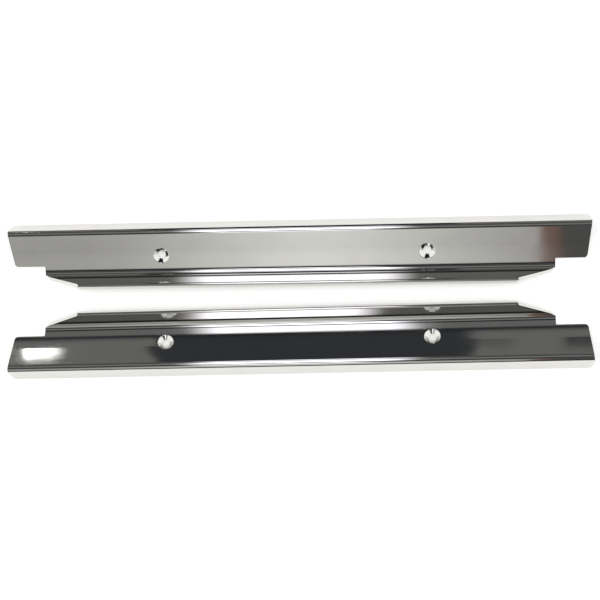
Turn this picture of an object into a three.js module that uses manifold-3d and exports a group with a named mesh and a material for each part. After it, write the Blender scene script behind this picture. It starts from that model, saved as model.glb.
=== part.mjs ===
// A pair of pressed stainless running board covers, lying side by side on a level surface.
// Units are millimetres, +Z is up and +X runs along the boards.
// Each board is one bent sheet: outer flange, tread, riser and a turned-down lip that runs out
// as a narrow hem along the riser's two slopes.
// Section coordinates: v runs across the tread from the outer edge to the riser,
// and h stands square to the tread. h is 0 on the top face of the tread.

import * as THREE from 'three';
import { mergeVertices } from 'three/addons/utils/BufferGeometryUtils.js';
import Module from 'manifold-3d';

const wasm = await Module();
wasm.setup();

const DEGREE = Math.PI / 180;

// Sheet and overall size
const BOARD_LENGTH = 610;
const SHEET = 1.2;

// Section, measured to the sharp corners of the visible face before the tread runs up
const FLANGE_HEIGHT = 21.3;
const TREAD_WIDTH = 49.2;
const RISER_HEIGHT = 22.5;
const RISER_ANGLE = 80.4 * DEGREE;
const LIP_WIDTH = 9;
const LIP_TURN = 121 * DEGREE;
const OUTER_BEND_RADIUS = 5.9;
const INNER_BEND_RADIUS = 5.2;
const LIP_BEND_RADIUS = 1.85;
const BEND_STEPS = 8;

// How far the tread has turned up where it meets the inner bend, and how soon that fades
const RUN_UP = 7.5 * DEGREE;
const RUN_UP_REACH = 7;
const RUN_UP_STEP = 3;
const RUN_UP_STEPS = 2;

// End shape
const TAB_WIDTH = 39.5;
const TAB_LENGTH = 37;
const TAB_LEAN = 4.7;
const TAB_CORNER_RADIUS = 4;
const FLANGE_END_LEAN = 2.5;
const RISER_SLOPE_LENGTH = 40;
const RISER_SLOPE_START = 2.2;
const HEM_REACH = 0.6;
const HEM_START = 9;
const HEM_RUN_OUT = 5;

// Screw dimples
const DIMPLE_SPACING = 279;
const DIMPLE_OFFSET = 2.2;
const DIMPLE_FROM_EDGE = 29.4;
const DIMPLE_DIAMETER = 16;
const SCREW_HOLE_DIAMETER = 8.5;
const DIMPLE_DEPTH = 3;
const DIMPLE_SEGMENTS = 32;
const DIMPLE_COLLAR = 0.5;
const DIMPLE_TONGUE = 0.5;

// How the pair lies
const PAIR_SPACING = 143.1;
const RIGHT_BOARD_YAW = 0.6 * DEGREE;

const HALF_LENGTH = BOARD_LENGTH / 2;
const CUT_MARGIN = 30;
const OVERLAP = 1;
const NOTCH = HALF_LENGTH - TAB_LENGTH;
const UNBENT_RISER = RISER_ANGLE - RUN_UP;

const steel = new THREE.MeshStandardMaterial({ color: 0xc9cbcd, metalness: 1, roughness: 0.12 });

// A point moved from `from` by `distance` in the direction `angle`.
function step(from, angle, distance) {
  return new THREE.Vector2(
    from.x + Math.cos(angle) * distance,
    from.y + Math.sin(angle) * distance
  );
}

// The visible face of the section as straight runs: a direction and a length each.
const runs = [
  { angle: 90 * DEGREE, length: FLANGE_HEIGHT },
  { angle: 0, length: TREAD_WIDTH },
  { angle: UNBENT_RISER, length: RISER_HEIGHT },
  { angle: UNBENT_RISER - LIP_TURN, length: LIP_WIDTH }
];
const bendRadii = [OUTER_BEND_RADIUS, INNER_BEND_RADIUS, LIP_BEND_RADIUS];

// Corners of the visible face, from the foot of the flange to the edge of the lip.
const corners = [new THREE.Vector2(0, -FLANGE_HEIGHT)];
for (const run of runs) {
  corners.push(step(corners[corners.length - 1], run.angle, run.length));
}

// Where the tread runs into the inner bend.
const treadEnd = TREAD_WIDTH - INNER_BEND_RADIUS * Math.tan(UNBENT_RISER / 2);

// The tread rises more and more steeply towards the inner bend and carries the riser with it.
function runUp(v, h) {
  const place = Math.min(v, treadEnd);
  const angle = RUN_UP * Math.exp((place - treadEnd) / RUN_UP_REACH);
  const beyond = v - place;
  return new THREE.Vector2(
    place + beyond * Math.cos(angle) - h * Math.sin(angle),
    RUN_UP_REACH * angle + beyond * Math.sin(angle) + h * Math.cos(angle)
  );
}

// One face of the sheet, `depth` below the visible face, with its bends rounded.
function sheetFace(depth) {
  const below = (point, angle) => step(point, angle - 90 * DEGREE, depth);
  const points = [below(corners[0], runs[0].angle)];
  bendRadii.forEach((radius, i) => {
    const before = runs[i].angle;
    const after = runs[i + 1].angle;
    const turn = after - before;
    const side = Math.sign(turn);
    const setback = radius * Math.tan(Math.abs(turn) / 2);
    const start = step(corners[i + 1], before, -setback);
    const centre = step(start, before + side * 90 * DEGREE, radius);
    const faceRadius = radius + side * depth;
    for (let k = 0; k <= BEND_STEPS; k++) {
      const heading = before + turn * k / BEND_STEPS;
      points.push(step(centre, heading - side * 90 * DEGREE, faceRadius));
    }
    if (i === 0) {
      for (let k = RUN_UP_STEPS; k > 0; k--) {
        points.push(new THREE.Vector2(treadEnd - k * RUN_UP_STEP, -depth));
      }
    }
  });
  points.push(below(corners[corners.length - 1], runs[runs.length - 1].angle));
  return points.map((point) => runUp(point.x, point.y));
}

function toManifold(geometry) {
  const bare = geometry.clone();
  bare.deleteAttribute('normal');
  bare.deleteAttribute('uv');
  const merged = mergeVertices(bare, 1e-5);
  return new wasm.Manifold(new wasm.Mesh({
    numProp: 3,
    vertProperties: new Float32Array(merged.attributes.position.array),
    triVerts: new Uint32Array(merged.index.array)
  }));
}

function toGeometry(solid) {
  const mesh = solid.getMesh();
  const indexed = new THREE.BufferGeometry();
  indexed.setAttribute('position', new THREE.BufferAttribute(mesh.vertProperties, 3));
  indexed.setIndex(new THREE.BufferAttribute(mesh.triVerts, 1));
  const geometry = indexed.toNonIndexed();
  geometry.computeVertexNormals();
  return geometry;
}

// A flat outline pushed through by `depth`.
function prism(points, depth) {
  return new THREE.ExtrudeGeometry(new THREE.Shape(points), {
    depth,
    bevelEnabled: false,
    curveSegments: 12
  });
}

// The whole bent sheet, square at both ends. Local axes: x along, y = v, z = h.
function bentSheet() {
  const outline = sheetFace(0).concat(sheetFace(SHEET).reverse());
  const geometry = prism(outline, BOARD_LENGTH);
  geometry.rotateX(90 * DEGREE);
  geometry.rotateZ(90 * DEGREE);
  geometry.translate(-HALF_LENGTH, 0, 0);
  return toManifold(geometry);
}

// What is trimmed off one end of the tread: outside the leaning tab and beyond the notch.
function tabTrim() {
  const tip = HALF_LENGTH - TAB_LEAN;
  const far = HALF_LENGTH + CUT_MARGIN;
  const lean = TAB_LEAN / TAB_WIDTH;
  const trim = new THREE.Shape();
  trim.moveTo(HALF_LENGTH, 0);
  trim.lineTo(tip + TAB_CORNER_RADIUS * lean, TAB_WIDTH - TAB_CORNER_RADIUS);
  trim.quadraticCurveTo(tip, TAB_WIDTH, tip - TAB_CORNER_RADIUS, TAB_WIDTH);
  trim.lineTo(NOTCH, TAB_WIDTH);
  trim.lineTo(NOTCH, TREAD_WIDTH + CUT_MARGIN);
  trim.lineTo(far, TREAD_WIDTH + CUT_MARGIN);
  trim.lineTo(far, 0);
  const geometry = new THREE.ExtrudeGeometry(trim, {
    depth: 2 * CUT_MARGIN,
    bevelEnabled: false,
    curveSegments: 8
  });
  geometry.translate(0, 0, -CUT_MARGIN);
  return toManifold(geometry);
}

// What is trimmed off one end of the outer flange, so that its foot is a little shorter.
function flangeTrim() {
  const outline = prism([
    new THREE.Vector2(HALF_LENGTH, -OUTER_BEND_RADIUS),
    new THREE.Vector2(HALF_LENGTH - FLANGE_END_LEAN, -FLANGE_HEIGHT),
    new THREE.Vector2(HALF_LENGTH - FLANGE_END_LEAN, -FLANGE_HEIGHT - CUT_MARGIN),
    new THREE.Vector2(HALF_LENGTH + CUT_MARGIN, -FLANGE_HEIGHT - CUT_MARGIN),
    new THREE.Vector2(HALF_LENGTH + CUT_MARGIN, -OUTER_BEND_RADIUS)
  ], 4 * SHEET);
  outline.rotateX(90 * DEGREE);
  outline.translate(0, 3 * SHEET, 0);
  return toManifold(outline);
}

// The straight face of the riser, from the height where its slopes start to where the lip starts.
const riserCorner = runUp(corners[2].x, corners[2].y);
const riserTop = runUp(corners[3].x, corners[3].y);
const toSlopeStart = (RISER_SLOPE_START - riserCorner.y) / Math.sin(RISER_ANGLE);
const slopeStart = step(riserCorner, RISER_ANGLE, toSlopeStart);
const lipStart = step(riserTop, RISER_ANGLE, -LIP_BEND_RADIUS * Math.tan(LIP_TURN / 2));
const slopeRise = slopeStart.distanceTo(lipStart);
const slopeAngle = Math.atan2(slopeRise, RISER_SLOPE_LENGTH);

// Places a shape drawn on the riser: x along, y up the riser from the slope's start, z off its face.
function onRiser(geometry) {
  geometry.rotateX(RISER_ANGLE);
  geometry.translate(0, slopeStart.x, slopeStart.y);
  return toManifold(geometry);
}

// A point on the riser, `along` the slope from its foot and `out` square to it.
function bySlope(along, out) {
  return new THREE.Vector2(
    NOTCH - along * Math.cos(slopeAngle) + out * Math.sin(slopeAngle),
    along * Math.sin(slopeAngle) + out * Math.cos(slopeAngle)
  );
}

// The corner where the slope meets the lip, and the mitre that parts the hem from the lip.
const slopeLength = Math.hypot(slopeRise, RISER_SLOPE_LENGTH);
const mitreFoot = bySlope(slopeLength, 0);
const mitreEnd = step(mitreFoot, 90 * DEGREE - slopeAngle / 2, CUT_MARGIN);

// A flat outline drawn on the riser, cutting square through it.
function riserCut(points) {
  const geometry = prism(points, 2 * CUT_MARGIN);
  geometry.translate(0, 0, -CUT_MARGIN);
  return onRiser(geometry);
}

// What is trimmed off one end of the riser: above the slope, and the lip beyond the mitre.
function riserTrim() {
  const low = bySlope(-OVERLAP, 0);
  return riserCut([low, new THREE.Vector2(low.x, mitreEnd.y), mitreEnd, mitreFoot]);
}

// The section of the hem: x square to the slope, y towards the back of the riser.
function hemSection() {
  const face = (depth) => {
    const points = [new THREE.Vector2(-OVERLAP, depth)];
    const centre = new THREE.Vector2(0, LIP_BEND_RADIUS);
    for (let k = 0; k <= BEND_STEPS; k++) {
      const heading = LIP_TURN * k / BEND_STEPS;
      points.push(step(centre, heading - 90 * DEGREE, LIP_BEND_RADIUS - depth));
    }
    points.push(step(points[points.length - 1], LIP_TURN, HEM_REACH));
    return points;
  };
  return face(0).concat(face(SHEET).reverse());
}

// The hem turned over along one slope: mitred to the lip and running out towards the notch.
function hem() {
  const geometry = prism(hemSection(), slopeLength + CUT_MARGIN);
  geometry.applyMatrix4(new THREE.Matrix4().makeBasis(
    new THREE.Vector3(Math.sin(slopeAngle), Math.cos(slopeAngle), 0),
    new THREE.Vector3(0, 0, -1),
    new THREE.Vector3(-Math.cos(slopeAngle), Math.sin(slopeAngle), 0)
  ));
  geometry.translate(NOTCH, 0, 0);
  const aboveLip = riserCut([
    mitreFoot,
    mitreEnd,
    new THREE.Vector2(mitreFoot.x - 2 * CUT_MARGIN, mitreEnd.y),
    new THREE.Vector2(mitreFoot.x - 2 * CUT_MARGIN, mitreFoot.y)
  ]);
  const runOut = riserCut([
    bySlope(-OVERLAP, -2 * OVERLAP),
    bySlope(HEM_START, -2 * OVERLAP),
    bySlope(HEM_START, 0),
    bySlope(HEM_START + HEM_RUN_OUT, LIP_BEND_RADIUS),
    bySlope(HEM_START + HEM_RUN_OUT, 2 * LIP_BEND_RADIUS),
    bySlope(-OVERLAP, 2 * LIP_BEND_RADIUS)
  ]);
  return onRiser(geometry).subtract(aboveLip).subtract(runOut);
}

// The same shape for the other end of the board.
function mirrored(solid) {
  return solid.mirror([1, 0, 0]);
}

// The flat part of the tread, from the outer bend to where it visibly starts to rise.
const flatStart = runUp(OUTER_BEND_RADIUS, 0);
const flatEnd = runUp(treadEnd - RUN_UP_STEPS * RUN_UP_STEP, 0);
const flatRise = Math.atan2(flatEnd.y - flatStart.y, flatEnd.x - flatStart.x);

// Sets a shape made round the y axis square into the tread, on one side of the middle.
function intoTread(geometry, side) {
  const place = step(flatStart, flatRise, DIMPLE_FROM_EDGE - OUTER_BEND_RADIUS);
  geometry.rotateX(90 * DEGREE + flatRise);
  geometry.translate(DIMPLE_OFFSET + side * DIMPLE_SPACING / 2, place.x, place.y);
  return toManifold(geometry);
}

// A pressed dimple with its screw hole, tongued into the tread round its collar.
function dimple(side) {
  const rim = DIMPLE_DIAMETER / 2;
  const hole = SCREW_HOLE_DIAMETER / 2;
  const collar = rim + DIMPLE_COLLAR;
  const tongue = collar + DIMPLE_TONGUE;
  const wall = [
    new THREE.Vector2(collar, -SHEET),
    new THREE.Vector2(tongue, -SHEET * 2 / 3),
    new THREE.Vector2(tongue, -SHEET / 3),
    new THREE.Vector2(collar, 0),
    new THREE.Vector2(rim, 0),
    new THREE.Vector2(hole, -DIMPLE_DEPTH),
    new THREE.Vector2(hole, -DIMPLE_DEPTH - SHEET),
    new THREE.Vector2(rim, -SHEET),
    new THREE.Vector2(collar, -SHEET)
  ];
  return intoTread(new THREE.LatheGeometry(wall, DIMPLE_SEGMENTS), side);
}

function dimpleOpening(side) {
  const radius = DIMPLE_DIAMETER / 2 + DIMPLE_COLLAR;
  return intoTread(new THREE.CylinderGeometry(radius, radius, 4 * SHEET, DIMPLE_SEGMENTS), side);
}

// The finished board in its own section axes.
function board() {
  let solid = bentSheet();
  const riserEnd = riserTrim();
  const slopeHem = hem();
  solid = solid.subtract(riserEnd).subtract(mirrored(riserEnd));
  solid = solid.add(slopeHem).add(mirrored(slopeHem));
  for (const trim of [tabTrim(), flangeTrim()]) {
    solid = solid.subtract(trim).subtract(mirrored(trim));
  }
  for (const side of [-1, 1]) {
    solid = solid.subtract(dimpleOpening(side)).add(dimple(side));
  }
  return toGeometry(solid);
}

// The tilt at which the foot of the flange and the inner bend both touch a level surface.
function lyingTilt() {
  const [foot, ...underside] = sheetFace(SHEET);
  const inner = underside.filter((point) => point.x > TREAD_WIDTH / 2);
  return Math.min(...inner.map((point) => Math.atan2(point.y - foot.y, point.x - foot.x)));
}

// Lays a board down with its outer edge at the front (-Y) and its riser towards the back.
function layBoard(name, title, yaw, y) {
  const geometry = board();
  geometry.rotateX(-lyingTilt());
  geometry.computeBoundingBox();
  geometry.translate(0, 0, -geometry.boundingBox.min.z);
  const mesh = new THREE.Mesh(geometry, steel);
  mesh.name = name;
  mesh.userData.title = title;
  mesh.rotation.z = yaw;
  mesh.position.y = y;
  return mesh;
}

const pair = new THREE.Group();
pair.name = 'running_board_pair';
pair.add(layBoard('right_board', 'Right running board cover', RIGHT_BOARD_YAW, -PAIR_SPACING / 2));
pair.add(layBoard('left_board', 'Left running board cover', Math.PI, PAIR_SPACING / 2));

// The origin is the middle of the pair, on the surface it lies on.
pair.updateMatrixWorld(true);
const middle = new THREE.Box3().setFromObject(pair, true).getCenter(new THREE.Vector3());
for (const child of pair.children) {
  child.position.x -= middle.x;
  child.position.y -= middle.y;
}

export default pair;
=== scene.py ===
"""A pair of polished stainless running board covers, lying on a white table under soft studio light."""

import math

import bmesh
import bpy
from mathutils import Matrix, Vector


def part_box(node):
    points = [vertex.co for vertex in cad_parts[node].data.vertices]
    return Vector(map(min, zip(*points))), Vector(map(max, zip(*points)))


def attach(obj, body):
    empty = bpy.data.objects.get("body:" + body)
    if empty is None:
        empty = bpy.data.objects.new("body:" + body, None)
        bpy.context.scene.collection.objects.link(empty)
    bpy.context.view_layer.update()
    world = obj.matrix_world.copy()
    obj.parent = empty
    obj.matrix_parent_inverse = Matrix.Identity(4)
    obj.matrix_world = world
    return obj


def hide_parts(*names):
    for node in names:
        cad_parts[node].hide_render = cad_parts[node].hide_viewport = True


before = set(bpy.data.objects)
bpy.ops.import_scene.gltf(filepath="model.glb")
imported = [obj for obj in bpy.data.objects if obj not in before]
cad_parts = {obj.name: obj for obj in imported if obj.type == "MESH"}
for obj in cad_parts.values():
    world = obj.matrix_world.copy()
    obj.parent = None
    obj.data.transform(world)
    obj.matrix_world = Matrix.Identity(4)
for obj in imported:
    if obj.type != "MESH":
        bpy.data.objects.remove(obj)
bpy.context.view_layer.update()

MM = 0.001
DEGREE = math.pi / 180

# ---------------------------------------------------------------- sizes
# Section coordinates: x along the board, y across the tread from its outer edge (v), z square to it (h).

BOARD_LENGTH = 610 * MM
HALF_LENGTH = BOARD_LENGTH / 2
SHEET = 1.2 * MM

FLANGE_HEIGHT = 21.3 * MM
TREAD_WIDTH = 49.2 * MM
RUN_UP = 7.5 * DEGREE
RUN_UP_REACH = 7 * MM
RISER_HEIGHT = 22.5 * MM
RISER_ANGLE = 80.4 * DEGREE
LIP_TURN = 121 * DEGREE
LIP_REACH = 5.7 * MM
OUTER_RADIUS = 5.9 * MM
INNER_RADIUS = 5.2 * MM
LIP_RADIUS = 1.85 * MM
BEND_STEPS = 18
LIP_STEPS = 10
LIP_EDGE_SHARES = (0.15, 0.85, 1)

TAB_WIDTH = 39.5 * MM
TAB_LENGTH = 37 * MM
TAB_LEAN = 4.7 * MM
TAB_CORNER_RADIUS = 4 * MM
CORNER_CUTS = 9
NOTCH = HALF_LENGTH - TAB_LENGTH
FLANGE_END_LEAN = 2.5 * MM
RISER_SLOPE_LENGTH = 40 * MM
RISER_SLOPE_START = 2.2 * MM
HEM_REACH = 0.6 * MM
HEM_FADE = 12 * MM
HEM_START = 7 * MM
HEM_LEAST = 0.3
SLOPE_DROP = 5 * MM
SLOPE_CUTS = 12

DIMPLE_SPACING = 279 * MM
DIMPLE_OFFSET = 2.2 * MM
DIMPLE_FROM_EDGE = 29.4 * MM
DIMPLE_RADIUS = 8 * MM
SCREW_HOLE_RADIUS = 4.25 * MM
DIMPLE_DEPTH = 3 * MM
DIMPLE_RIM_RADIUS = 1.2 * MM
DIMPLE_WINDOW = 11.5 * MM
DIMPLE_FLAT = (11.2 * MM, 10.4 * MM, 9.6 * MM)
DIMPLE_STEPS = 48
RIM_STEPS = 6

EDGE_ROUND = 0.25 * MM
SUPPORT = 0.6 * MM
RUN_UP_STEP = 1.5 * MM

# How near a place counts as on a line, as level with the tread, and as already cut.
HAIR = 0.01 * MM
LEVEL = 0.001 * MM
CUT_SNAP = 0.0001 * MM

# How each board is turned about the vertical as it lies.
BOARDS = {"right_board": 0.6 * DEGREE, "left_board": math.pi}

FLOOR_SIZE = 8.0
TABLE_GLOW = 0.38
TABLE_LIGHT_POWER = 12
TABLE_LIGHT_SIZE = 3.0
TABLE_LIGHT_HEIGHT = 2.4
CAMERA_PLACE = Vector((0.1685, -0.0839, 1.5268))
CAMERA_TURN = (2.996 * DEGREE, 6.175 * DEGREE, -0.503 * DEGREE)
CAMERA_LENS = 88.27


# ---------------------------------------------------------------- node maths
class Value:
    """A number socket that Python's own operators can be used on."""

    def __init__(self, tree, socket):
        self.tree = tree
        self.socket = socket

    def node(self, kind, settings=(), values=(), output=0):
        """Any node of this tree: its settings first, then the values or links of its sockets."""
        made = self.tree.nodes.new(kind)
        for name, setting in dict(settings).items():
            setattr(made, name, setting)
        for key, value in dict(values).items():
            if isinstance(value, Value):
                self.tree.links.new(value.socket, made.inputs[key])
            else:
                made.inputs[key].default_value = value
        return Value(self.tree, made.outputs[output])

    def math(self, operation, *others, first=None):
        """A maths node on this value, or on first when that is given, and the others."""
        operands = [self if first is None else first, *others]
        return self.node("ShaderNodeMath", {"operation": operation}, enumerate(operands))

    def __add__(self, other):
        return self.math("ADD", other)

    def __radd__(self, other):
        return self.math("ADD", other)

    def __sub__(self, other):
        return self.math("SUBTRACT", other)

    def __rsub__(self, other):
        return self.math("SUBTRACT", self, first=other)

    def __mul__(self, other):
        return self.math("MULTIPLY", other)

    def __rmul__(self, other):
        return self.math("MULTIPLY", other)

    def rise(self, low, high):
        """0 below low, 1 above high and smooth between them."""
        settings = {"interpolation_type": "SMOOTHSTEP"}
        return self.node("ShaderNodeMapRange", settings, {0: self, 1: low, 2: high, 3: 0.0, 4: 1.0})

    def between(self, low, high, soft):
        """1 from low to high, with edges that fade over soft on each side."""
        return self.rise(low - soft, low + soft) * (1 - self.rise(high - soft, high + soft))


def blend_colours(mask, off, on):
    """The colour off where mask is 0 and on where it is 1."""
    values = {0: mask, 6: off, 7: on}
    return mask.node("ShaderNodeMix", {"data_type": "RGBA"}, values, output=2)


# ---------------------------------------------------------------- finishes
def new_material(name):
    """An empty material: itself, a value to start its nodes from, and its shader."""
    material = bpy.data.materials.new(name)
    material.use_nodes = True
    tree = material.node_tree
    shader = tree.nodes["Principled BSDF"]
    return material, Value(tree, shader.outputs[0]), shader


def feed(value, shader, socket):
    """Links a value to one of the shader's sockets."""
    value.tree.links.new(value.socket, shader.inputs[socket])


def stretched(start, scale):
    """Object coordinates stretched by scale along each axis."""
    place = start.node("ShaderNodeTexCoord", output=3)
    return start.node("ShaderNodeMapping", {}, {0: place, 3: scale})


def noise(start, vector, scale, detail):
    """Cloudy noise from 0 to 1 over the given coordinates."""
    return start.node("ShaderNodeTexNoise", {}, {"Vector": vector, "Scale": scale, "Detail": detail})


def bump(start, height, strength, distance, under=None):
    """A normal tilted by height, on top of the normal under where one is given."""
    values = {"Height": height, "Strength": strength, "Distance": distance}
    if under is not None:
        values["Normal"] = under
    return start.node("ShaderNodeBump", {}, values)


def polished_stainless():
    """Mirror polish: faint buffing lines along the board, a little haze and a slightly uneven sheet."""
    material, start, shader = new_material("polished_stainless")
    shader.inputs["Metallic"].default_value = 1.0
    haze = noise(start, stretched(start, (1.0, 1.0, 1.0)), 38.0, detail=5.0).rise(0.35, 0.75)
    lines = noise(start, stretched(start, (6.0, 900.0, 900.0)), 1.0, detail=3.0)
    smears = noise(start, stretched(start, (9.0, 34.0, 34.0)), 1.0, detail=4.0).rise(0.45, 0.8)
    feed(blend_colours(haze * 0.6 + smears * 0.3, (0.69, 0.683, 0.66, 1), (0.655, 0.648, 0.63, 1)),
         shader, "Base Color")
    feed(0.02 + haze * 0.02 + smears * 0.025 + lines * 0.02, shader, "Roughness")
    waves = noise(start, stretched(start, (5.0, 9.0, 9.0)), 1.0, detail=1.0)
    sheet = bump(start, waves, 0.05, 1.0 * MM)
    feed(bump(start, lines, 0.01, 0.01 * MM, under=sheet), shader, "Normal")
    return material


def mill_stainless():
    """The dull unpolished back of the sheet, with rolling lines."""
    material, start, shader = new_material("mill_stainless")
    shader.inputs["Metallic"].default_value = 1.0
    rolled = noise(start, stretched(start, (4.0, 420.0, 420.0)), 1.0, detail=4.0)
    cloud = noise(start, stretched(start, (1.0, 1.0, 1.0)), 16.0, detail=4.0)
    feed(blend_colours(cloud.rise(0.3, 0.7), (0.56, 0.56, 0.55, 1), (0.47, 0.47, 0.465, 1)),
         shader, "Base Color")
    feed(0.24 + cloud * 0.12 + rolled * 0.10, shader, "Roughness")
    feed(bump(start, rolled, 0.25, 0.03 * MM), shader, "Normal")
    return material


def table_white():
    """The plain white table: faintly uneven and softly lit from below."""
    material, start, shader = new_material("table_white")
    cloud = noise(start, stretched(start, (1.0, 1.0, 1.0)), 3.0, detail=3.0)
    feed(blend_colours(cloud, (0.90, 0.90, 0.89, 1), (0.92, 0.92, 0.915, 1)), shader, "Base Color")
    shader.inputs["Roughness"].default_value = 0.9
    shader.inputs["Specular IOR Level"].default_value = 0.1
    shader.inputs["Emission Color"].default_value = (1.0, 1.0, 0.98, 1)
    shader.inputs["Emission Strength"].default_value = TABLE_GLOW
    return material


# ---------------------------------------------------------------- bent sheet
def everything(bm):
    """All of a mesh's corners, edges and faces."""
    return bm.verts[:] + bm.edges[:] + bm.faces[:]


def straight(bm, tip, heading, lengths):
    """Carries the section on from tip in a straight line, with a corner after each length."""
    for length in lengths:
        tip = bmesh.ops.extrude_vert_indiv(bm, verts=[tip])["verts"][0]
        tip.co += Vector((0, math.cos(heading), math.sin(heading))) * length
    return tip


def bend(bm, tip, heading, turn, radius):
    """Carries the section on from tip round a bend."""
    square = heading + math.copysign(90 * DEGREE, turn)
    centre = tip.co + Vector((0, math.cos(square), math.sin(square))) * radius
    made = bmesh.ops.spin(bm, geom=[tip], cent=centre, axis=(1, 0, 0), angle=turn, steps=BEND_STEPS)
    return made["geom_last"][0]


def section(bm):
    """The visible face of the section, from the foot of the flange to where the lip begins."""
    outer = OUTER_RADIUS
    inner = INNER_RADIUS * math.tan((RISER_ANGLE - RUN_UP) / 2)
    lip = LIP_RADIUS * math.tan(LIP_TURN / 2)
    near_bend = math.ceil(3 * RUN_UP_REACH / RUN_UP_STEP)
    flat = TREAD_WIDTH - outer - inner - SUPPORT - near_bend * RUN_UP_STEP
    tip = bm.verts.new((0, 0, -FLANGE_HEIGHT))
    tip = straight(bm, tip, 90 * DEGREE, [SUPPORT, FLANGE_HEIGHT - outer - 2 * SUPPORT, SUPPORT])
    tip = bend(bm, tip, 90 * DEGREE, -90 * DEGREE, OUTER_RADIUS)
    tip = straight(bm, tip, 0, [SUPPORT, flat, *[RUN_UP_STEP] * near_bend])
    tip = bend(bm, tip, 0, RISER_ANGLE - RUN_UP, INNER_RADIUS)
    straight(bm, tip, RISER_ANGLE - RUN_UP, [SUPPORT, RISER_HEIGHT - inner - lip - SUPPORT])


def tread_end():
    """Where the tread runs into the inner bend."""
    return TREAD_WIDTH - INNER_RADIUS * math.tan((RISER_ANGLE - RUN_UP) / 2)


def run_up(bm):
    """Lets the tread rise more and more steeply towards the inner bend, and carries the riser with it."""
    end = tread_end()
    for v in bm.verts:
        place = min(v.co.y, end)
        angle = RUN_UP * math.exp((place - end) / RUN_UP_REACH)
        beyond = v.co.y - place
        v.co = Vector((v.co.x,
                       place + beyond * math.cos(angle) - v.co.z * math.sin(angle),
                       RUN_UP_REACH * angle + beyond * math.sin(angle) + v.co.z * math.cos(angle)))


def cut(bm, point, normal, geom=None, clear=False):
    """Cuts along a plane, and with clear takes away what lies on its normal's side."""
    bmesh.ops.bisect_plane(
        bm, geom=geom or everything(bm), dist=CUT_SNAP, plane_co=point, plane_no=normal, clear_outer=clear
    )


def part_of(bm, chosen):
    """The faces whose middles are chosen, with their edges and corners."""
    faces = [f for f in bm.faces if chosen(f.calc_center_median())]
    edges = dict.fromkeys(e for f in faces for e in f.edges)
    verts = dict.fromkeys(v for f in faces for v in f.verts)
    return [*verts, *edges, *faces]


def trim_ends(bm):
    """Cuts the leaning tabs, the notches and the shorter foot of the flange."""
    for end in (-1, 1):
        lean = Vector((end * TAB_WIDTH, TAB_LEAN, 0))
        cut(bm, Vector((end * HALF_LENGTH, 0, 0)), lean, clear=True)
        foot = Vector((end * (FLANGE_HEIGHT - OUTER_RADIUS), 0, -FLANGE_END_LEAN))
        cut(bm, Vector((end * HALF_LENGTH, 0, -OUTER_RADIUS)), foot, clear=True)
        cut(bm, Vector((end * NOTCH, 0, 0)), Vector((end, 0, 0)))
    cut(bm, Vector((0, TAB_WIDTH, 0)), Vector((0, 1, 0)), part_of(bm, lambda c: abs(c.x) > NOTCH))
    beyond = [f for f in bm.faces
              if f.calc_center_median().y > TAB_WIDTH and abs(f.calc_center_median().x) > NOTCH]
    bmesh.ops.delete(bm, geom=beyond, context="FACES")


def round_tabs(bm):
    """Rounds the inner corner of each tab with a run of cuts that touch the corner's arc."""
    lean = math.atan2(TAB_LEAN, TAB_WIDTH)
    across = TAB_WIDTH - TAB_CORNER_RADIUS
    along = HALF_LENGTH - TAB_CORNER_RADIUS / math.cos(lean) - across * math.tan(lean)
    for end in (-1, 1):
        for k in range(1, CORNER_CUTS):
            turn = lean + (90 * DEGREE - lean) * k / CORNER_CUTS
            outward = Vector((end * math.cos(turn), math.sin(turn), 0))
            tab = part_of(bm, lambda c: end * c.x > NOTCH and c.z > -SUPPORT)
            touch = Vector((end * along, across, 0)) + outward * TAB_CORNER_RADIUS
            cut(bm, touch, outward, tab, clear=True)


def slope_riser(bm):
    """Cuts the riser down to a slope towards each notch."""
    tread_rise = RUN_UP_REACH * RUN_UP
    top = max(v.co.z for v in bm.verts)
    for end in (-1, 1):
        upper = part_of(bm, lambda c: c.y > TAB_WIDTH and c.z > tread_rise)
        slope = Vector((end * (top - RISER_SLOPE_START), 0, RISER_SLOPE_LENGTH))
        cut(bm, Vector((end * NOTCH, 0, RISER_SLOPE_START)), slope, upper, clear=True)


def free_rim(bm):
    """The free edge of the riser: its top and its two slopes."""
    def on_riser(v):
        return v.co.y > TAB_WIDTH and v.co.z > RISER_SLOPE_START - SUPPORT

    def off_notch(v):
        return abs(v.co.x) < NOTCH - HAIR

    return [e for e in bm.edges
            if e.is_boundary and all(on_riser(v) for v in e.verts) and any(off_notch(v) for v in e.verts)]


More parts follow.
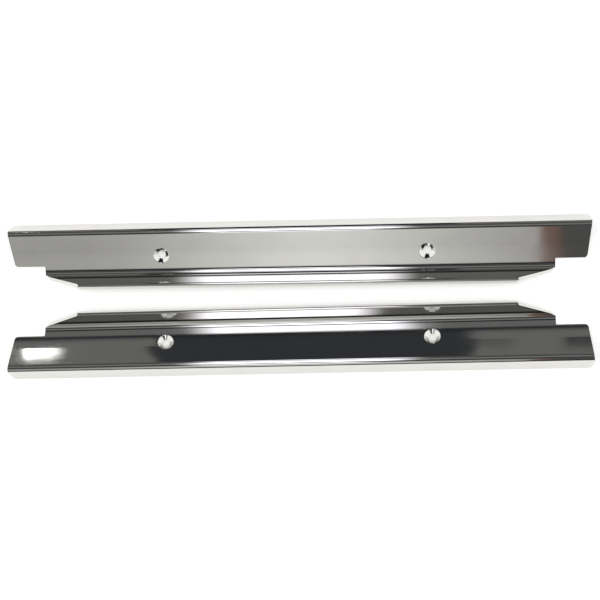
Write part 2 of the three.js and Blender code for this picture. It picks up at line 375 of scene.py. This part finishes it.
def roll_lip(bm):
    """Turns the riser's free edge over and down, fully along the top and narrowly along the slopes."""
    slopes = [e for e in free_rim(bm) if abs(e.verts[0].co.z - e.verts[1].co.z) > SLOPE_DROP]
    bmesh.ops.subdivide_edges(bm, edges=slopes, cuts=SLOPE_CUTS)
    bmesh.ops.recalc_face_normals(bm, faces=bm.faces[:])
    bm.normal_update()
    rim = free_rim(bm)
    top = max(v.co.z for e in rim for v in e.verts)
    corner = max(abs(v.co.x) for e in rim for v in e.verts if v.co.z > top - HAIR)
    facing = {v: v.normal * -math.copysign(1, v.normal.y) for e in rim for v in e.verts}
    square = {}
    for e in rim:
        first, last = e.verts
        outward = (last.co - first.co).cross(facing[first] + facing[last]).normalized()
        outward *= math.copysign(1, outward.z)
        for v in e.verts:
            square.setdefault(v, []).append(outward)
    places = {}
    for v, sides in square.items():
        mitre = (sides[0] + sides[-1]) / (1 + sides[0].dot(sides[-1]))
        past = max(abs(v.co.x) - corner, 0)
        reach = HEM_REACH + (LIP_REACH - HEM_REACH) * max(1 - past / HEM_FADE, 0) ** 2
        size = min((NOTCH - abs(v.co.x)) / HEM_START + HEM_LEAST, 1)
        places[v] = (v.co.copy(), mitre, facing[v], reach, size)
    turns = [LIP_TURN * k / LIP_STEPS for k in range(1, LIP_STEPS + 1)]
    roll = [(turn, 0) for turn in turns]
    edge = [(LIP_TURN, share) for share in LIP_EDGE_SHARES]
    for turn, share in roll + edge:
        made = bmesh.ops.extrude_edge_only(bm, edges=rim)["geom"]
        rim = [g for g in made if isinstance(g, bmesh.types.BMEdge)]
        fresh = [g for g in made if isinstance(g, bmesh.types.BMVert)]
        roots = [next(e.other_vert(v) for e in v.link_edges if e.other_vert(v) in places) for v in fresh]
        places = {v: places[root] for v, root in zip(fresh, roots)}
        for v, (start, mitre, front, reach, size) in places.items():
            out = LIP_RADIUS * math.sin(turn) + share * reach * math.cos(turn)
            back = LIP_RADIUS * (1 - math.cos(turn)) + share * reach * math.sin(turn)
            v.co = start + (mitre * out - front * back) * size


def window_in_tread(bm, centre):
    """Cuts a square window out of the flat tread and returns the edges round it."""
    near, far = centre.x - DIMPLE_WINDOW, centre.x + DIMPLE_WINDOW
    low, high = centre.y - DIMPLE_WINDOW, centre.y + DIMPLE_WINDOW
    flat = part_of(bm, lambda c: abs(c.z) < LEVEL and abs(c.x) < NOTCH)
    cut(bm, Vector((near, 0, 0)), Vector((1, 0, 0)), flat)
    flat = part_of(bm, lambda c: abs(c.z) < LEVEL and near < c.x < NOTCH)
    cut(bm, Vector((far, 0, 0)), Vector((1, 0, 0)), flat)
    for line in (low, high):
        strip = part_of(bm, lambda c: abs(c.z) < LEVEL and near < c.x < far)
        cut(bm, Vector((0, line, 0)), Vector((0, 1, 0)), strip)
    found = part_of(bm, lambda c: abs(c.z) < LEVEL and near < c.x < far and low < c.y < high)
    inside = [g for g in found if isinstance(g, bmesh.types.BMFace)]
    window = [e for e in bm.edges if len([f for f in e.link_faces if f in inside]) == 1]
    bmesh.ops.delete(bm, geom=inside, context="FACES")
    return [e for e in window if e.is_valid]


def dimple(bm, centre):
    """Presses one countersunk dimple into the tread, in a square window cut out round it."""
    window = window_in_tread(bm, centre)
    slope = math.atan2(DIMPLE_DEPTH, DIMPLE_RADIUS - SCREW_HOLE_RADIUS)
    start = bm.verts.new(centre + Vector((DIMPLE_FLAT[0], 0, 0)))
    for radius in (*DIMPLE_FLAT[1:], DIMPLE_RADIUS + DIMPLE_RIM_RADIUS / 2):
        start = bmesh.ops.extrude_vert_indiv(bm, verts=[start])["verts"][0]
        start.co = centre + Vector((radius, 0, 0))
    pivot = start.co - Vector((0, 0, DIMPLE_RIM_RADIUS))
    rim = bmesh.ops.spin(bm, geom=[start], cent=pivot, axis=(0, 1, 0), angle=-slope, steps=RIM_STEPS)
    foot = bmesh.ops.extrude_vert_indiv(bm, verts=[rim["geom_last"][0]])["verts"][0]
    inward = foot.co.x - centre.x - SCREW_HOLE_RADIUS
    foot.co -= Vector((inward, 0, inward * math.tan(slope)))
    profile = [v for v in bm.verts if all(e.is_wire for e in v.link_edges)]
    profile += [e for e in bm.edges if e.is_wire]
    bmesh.ops.spin(bm, geom=profile, cent=centre, axis=(0, 0, 1), angle=2 * math.pi,
                   steps=DIMPLE_STEPS, use_merge=True)

    def on_flat_ring(v):
        return v.co.z == start.co.z and (v.co - centre).length < DIMPLE_WINDOW

    outer = [e for e in bm.edges if e.is_boundary and all(on_flat_ring(v) for v in e.verts)]
    bmesh.ops.triangle_fill(bm, edges=window + outer, use_beauty=True)


def visible_face():
    """The whole visible face of one board, in section coordinates and centred along x."""
    bm = bmesh.new()
    section(bm)
    bmesh.ops.translate(bm, verts=bm.verts[:], vec=(-HALF_LENGTH, 0, 0))
    run = bmesh.ops.extrude_edge_only(bm, edges=bm.edges[:])["geom"]
    swept = [g for g in run if isinstance(g, bmesh.types.BMVert)]
    bmesh.ops.translate(bm, verts=swept, vec=(BOARD_LENGTH, 0, 0))
    trim_ends(bm)
    round_tabs(bm)
    for side in (-1, 1):
        dimple(bm, Vector((DIMPLE_OFFSET + side * DIMPLE_SPACING / 2, DIMPLE_FROM_EDGE, 0)))
    run_up(bm)
    slope_riser(bm)
    roll_lip(bm)
    bmesh.ops.recalc_face_normals(bm, faces=bm.faces[:])
    flange = max(bm.faces, key=lambda f: f.calc_area())
    if flange.normal.y > 0:
        bmesh.ops.reverse_faces(bm, faces=bm.faces[:])
    return bm


def lying_tilt(bm):
    """The tilt at which the foot of the flange and the inner bend both touch the table."""
    bm.normal_update()
    under = [v.co - v.normal * SHEET for v in bm.verts
             if v.co.y > TREAD_WIDTH / 2 and v.co.z < INNER_RADIUS and abs(v.co.x) < NOTCH + SUPPORT]
    return min(math.atan2(u.z + FLANGE_HEIGHT, u.y - SHEET) for u in under)


def lay_on(bm, node, yaw):
    """Tilts and turns a board as it lies, and centres it on its node."""
    turn = Matrix.Rotation(yaw, 4, "Z") @ Matrix.Rotation(-lying_tilt(bm), 4, "X")
    bmesh.ops.transform(bm, matrix=turn, verts=bm.verts[:])
    low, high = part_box(node)
    xs = [v.co.x for v in bm.verts]
    ys = [v.co.y for v in bm.verts]
    tops = [v.co.z for v in bm.verts]
    shift = Vector(((low[0] + high[0] - min(xs) - max(xs)) / 2,
                    (low[1] + high[1] - min(ys) - max(ys)) / 2,
                    high[2] - max(tops)))
    bmesh.ops.translate(bm, verts=bm.verts[:], vec=shift)


def make_board(node, yaw, front, back):
    """One board: its visible face, given the sheet's thickness and softly rounded edges."""
    bm = visible_face()
    lay_on(bm, node, yaw)
    for face in bm.faces:
        face.smooth = True
    mesh = bpy.data.meshes.new(node + "_sheet")
    bm.to_mesh(mesh)
    bm.free()
    board = bpy.data.objects.new(node + "_sheet", mesh)
    bpy.context.scene.collection.objects.link(board)
    mesh.materials.append(front)
    mesh.materials.append(back)
    wall = board.modifiers.new("sheet", "SOLIDIFY")
    wall.thickness = SHEET
    wall.offset = -1
    wall.use_even_offset = True
    wall.use_quality_normals = True
    wall.material_offset = 1
    edge = board.modifiers.new("edges", "BEVEL")
    edge.width = EDGE_ROUND
    edge.segments = 2
    edge.limit_method = "ANGLE"
    edge.angle_limit = 50 * DEGREE
    edge.miter_outer = "MITER_ARC"
    even = board.modifiers.new("normals", "WEIGHTED_NORMAL")
    even.keep_sharp = True
    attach(board, "root")
    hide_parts(node)


# ---------------------------------------------------------------- table, light and camera
def make_floor():
    bm = bmesh.new()
    bmesh.ops.create_grid(bm, x_segments=4, y_segments=4, size=FLOOR_SIZE / 2)
    mesh = bpy.data.meshes.new("table")
    bm.to_mesh(mesh)
    bm.free()
    floor = bpy.data.objects.new("table", mesh)
    bpy.context.scene.collection.objects.link(floor)
    mesh.materials.append(table_white())


def make_room():
    """The studio that the metal mirrors, drawn by its direction in degrees across and along the boards.

    A softbox hangs overhead with a narrow light strip on each side of it. On the near side stands a pale
    wall with a reddish doorway, and on the far side a dim one with a black flag and a small lamp. Both ends
    of the room are bright.
    """
    world = bpy.data.worlds.new("studio")
    bpy.context.scene.world = world
    world.use_nodes = True
    tree = world.node_tree
    background = tree.nodes["Background"]
    start = Value(tree, background.outputs[0])
    aim = start.node("ShaderNodeTexCoord", output=0)
    split = tree.nodes.new("ShaderNodeSeparateXYZ")
    tree.links.new(aim.socket, split.inputs[0])
    x, y, z = (Value(tree, split.outputs[i]) for i in range(3))
    across = y.math("ARCTAN2", z) * (1 / DEGREE)
    level = (y * y + z * z).math("SQRT")
    along = x.math("ARCTAN2", level) * (1 / DEGREE)

    lit = along.between(-10.3, -2.3, 0.9)
    strip = across.between(-29.5, -22, 0.8) * (0.12 + 2.6 * along.between(-9.8, -3.3, 0.8))
    softbox = across.between(-6.5, 27, 1.5) * (0.16 + 2.1 * lit)
    far_strip = across.between(38, 46.5, 1.0) * (0.12 + 1.5 * lit)
    wall = across.between(-67, -34, 1.5)
    wall_light = (0.40 + 0.42 * along.between(-10, -1, 5)) * (1 - 0.38 * across.between(-56, -46, 3.5))
    doorway = along.rise(3.0, 3.4)
    wall_light = wall_light * (1 - 0.6 * doorway) * (1 - 0.6 * along.rise(3.7, 4.1))
    bow = ((across - 51.2) * (across - 51.2)).math("MINIMUM", 0.3)
    flag = (along - bow * 1.4).rise(-12.75, -12.4) * (1 - (along + bow).rise(0.1, 0.5))
    shade = along.between(0.4, 1.6, 0.15) * across.between(51.0, 51.8, 0.1)
    spot = along.between(3.6, 5.2, 0.1) * across.between(50.9, 51.6, 0.12)
    far_side = across.rise(47, 50) * (0.13 - 0.11 * flag)
    far_side = far_side * (1 - 0.85 * spot) * (1 - 0.4 * shade)
    lamp_half_width = (-15.7 - along) * 0.16
    off_lamp = (across - 51.0).math("ABSOLUTE")
    lamp = (lamp_half_width - off_lamp).rise(-0.02, 0.05) * along.rise(-17.25, -17.1)
    ends = along.math("ABSOLUTE").rise(20, 30)

    light = 0.02 + wall * wall_light + strip + softbox + far_strip + far_side + 8.0 * lamp
    light = (light * (1 - ends) + 1.1 * ends) * 1.14
    shine = (strip + softbox + far_strip).math("MINIMUM", 1.0)
    tint = blend_colours(light.rise(0.0, 0.12), (0.72, 0.84, 1.0, 1), (1.0, 1.0, 0.975, 1))
    tint = blend_colours(doorway * wall * (1 - along.rise(3.8, 4.2)), tint, (1.0, 0.66, 0.56, 1))
    tint = blend_colours(shine, tint, (0.94, 0.93, 1.0, 1))
    tree.links.new(tint.socket, background.inputs["Color"])
    tree.links.new(light.socket, background.inputs["Strength"])


def make_softlight():
    """A broad light that evens out the table and isn't mirrored in the metal."""
    data = bpy.data.lights.new("table_light", "AREA")
    data.shape = "RECTANGLE"
    data.size = TABLE_LIGHT_SIZE
    data.size_y = TABLE_LIGHT_SIZE
    data.energy = TABLE_LIGHT_POWER
    light = bpy.data.objects.new("table_light", data)
    light.location = (0.0, 0.0, TABLE_LIGHT_HEIGHT)
    light.visible_glossy = False
    light.visible_camera = False
    bpy.context.scene.collection.objects.link(light)


def make_camera():
    data = bpy.data.cameras.new("camera")
    data.lens = CAMERA_LENS
    data.sensor_width = 36
    data.clip_end = 50
    camera = bpy.data.objects.new("camera", data)
    camera.location = CAMERA_PLACE
    camera.rotation_euler = CAMERA_TURN
    bpy.context.scene.collection.objects.link(camera)
    bpy.context.scene.camera = camera


make_camera()
polished = polished_stainless()
mill = mill_stainless()
for node, yaw in BOARDS.items():
    make_board(node, yaw, polished, mill)
make_floor()
make_room()
make_softlight()
bpy.context.scene.view_settings.view_transform = "Standard"
